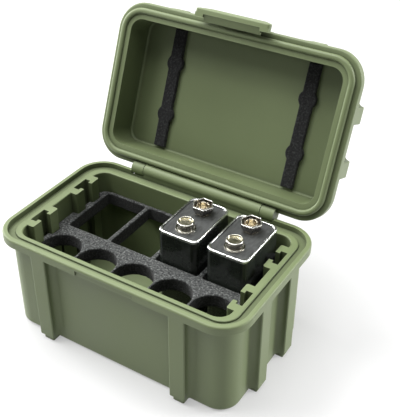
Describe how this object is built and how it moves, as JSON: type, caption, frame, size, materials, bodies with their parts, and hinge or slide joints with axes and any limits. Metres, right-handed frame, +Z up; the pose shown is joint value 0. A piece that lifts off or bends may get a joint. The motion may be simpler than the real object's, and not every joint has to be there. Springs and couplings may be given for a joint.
{
  "type": "battery storage case",
  "caption": "Small hinged plastic case with a snap latch, a foam insert with round cell holes and rectangular pockets, and nine-volt batteries standing in it.",
  "frame": {"origin": "middle of the flat underside of the base, on the surface the case stands on", "axes": "+X along the case to the right, +Y from the latch side to the hinge side, +Z up; the lid is drawn open"},
  "size_m": [0.1124, 0.1081, 0.1174],
  "materials": {
    "case_plastic": "satin moulded olive-green plastic",
    "pin_steel": "drawn steel rod",
    "insert_foam": "charcoal closed-cell foam with a fine speckle",
    "strip_foam": "black foam strip",
    "battery_steel": "bright crimped metal",
    "battery_jacket": "glossy black jacket, bare of any label",
    "terminal_board": "dark grey pressed board",
    "snap_metal": "nickel-plated snap"
  },
  "bodies": {
    "base": {"base_shell": "case_plastic", "hinge_pin": "pin_steel"},
    "lid": {"lid_shell": "case_plastic", "latch_pin": "pin_steel", "lid_strip_left": "strip_foam", "lid_strip_right": "strip_foam"},
    "latch": {"latch": "case_plastic"},
    "foam": {"foam_insert": "insert_foam"},
    "battery_1": {"battery_1_can": "battery_steel", "battery_1_sleeve": "battery_jacket", "battery_1_terminal_plate": "terminal_board", "battery_1_bottom_plate": "terminal_board", "battery_1_snap_stud": "snap_metal", "battery_1_snap_socket": "snap_metal", "battery_1_rivets": "snap_metal"},
    "battery_2": {"battery_2_can": "battery_steel", "battery_2_sleeve": "battery_jacket", "battery_2_terminal_plate": "terminal_board", "battery_2_bottom_plate": "terminal_board", "battery_2_snap_stud": "snap_metal", "battery_2_snap_socket": "snap_metal", "battery_2_rivets": "snap_metal"}
  },
  "joints": [
    {"name": "lid_hinge", "type": "hinge", "parent": "base", "child": "lid", "pos_m": [0, 0.03545, 0.0472], "axis": [1, 0, 0], "range_deg": [0, 112]},
    {"name": "latch_hinge", "type": "hinge", "parent": "lid", "child": "latch", "pos_m": [0, 0.06649, 0.10827], "axis": [-1, 0, 0], "range_deg": [0, 80]},
    {"name": "foam_lift", "type": "slide", "parent": "base", "child": "foam", "axis": [0, 0, 1], "range_m": [0, 0.05]},
    {"name": "battery_1_lift", "type": "slide", "parent": "base", "child": "battery_1", "axis": [0, 0, 1], "range_m": [0, 0.075]},
    {"name": "battery_2_lift", "type": "slide", "parent": "base", "child": "battery_2", "axis": [0, 0, 1], "range_m": [0, 0.075]}
  ]
}
